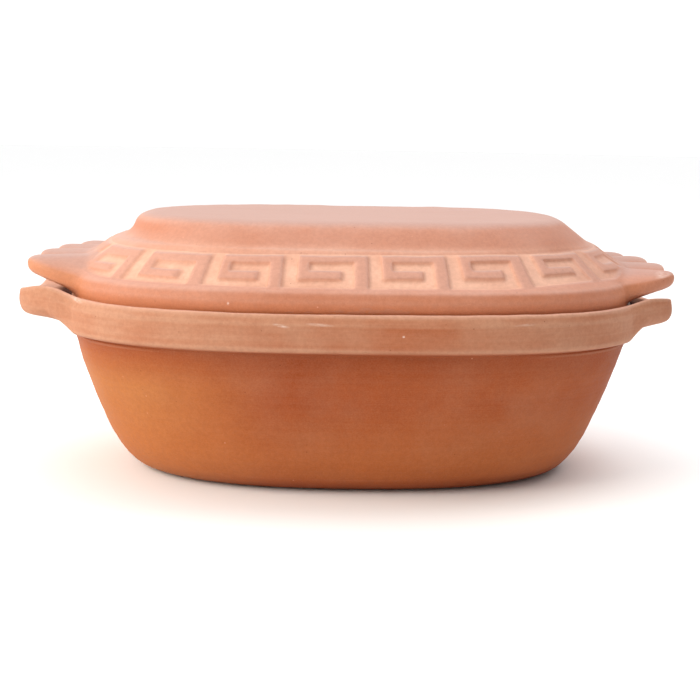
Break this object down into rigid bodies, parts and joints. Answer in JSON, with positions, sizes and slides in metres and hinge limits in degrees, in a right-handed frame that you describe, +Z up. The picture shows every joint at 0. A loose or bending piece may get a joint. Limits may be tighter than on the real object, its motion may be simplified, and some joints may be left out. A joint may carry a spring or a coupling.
{
  "type": "clay roaster",
  "caption": "Oval unglazed clay roaster: a flared pot with two end lugs and a domed lid with a Greek-key band and fluted end lugs, the lid resting in the rim.",
  "frame": {"origin": "centre of the pot's flat base, on the table", "axes": "+X along the long axis towards the right lug, +Y to the back, +Z up"},
  "size_m": [0.388, 0.2428, 0.1511],
  "materials": {
    "pot_clay": "unglazed fired clay, matt, orange brown",
    "lid_clay": "unglazed fired clay, matt, paler and dustier than the pot"
  },
  "bodies": {
    "root": {"pot": "pot_clay", "lid": "lid_clay"}
  },
  "joints": []
}
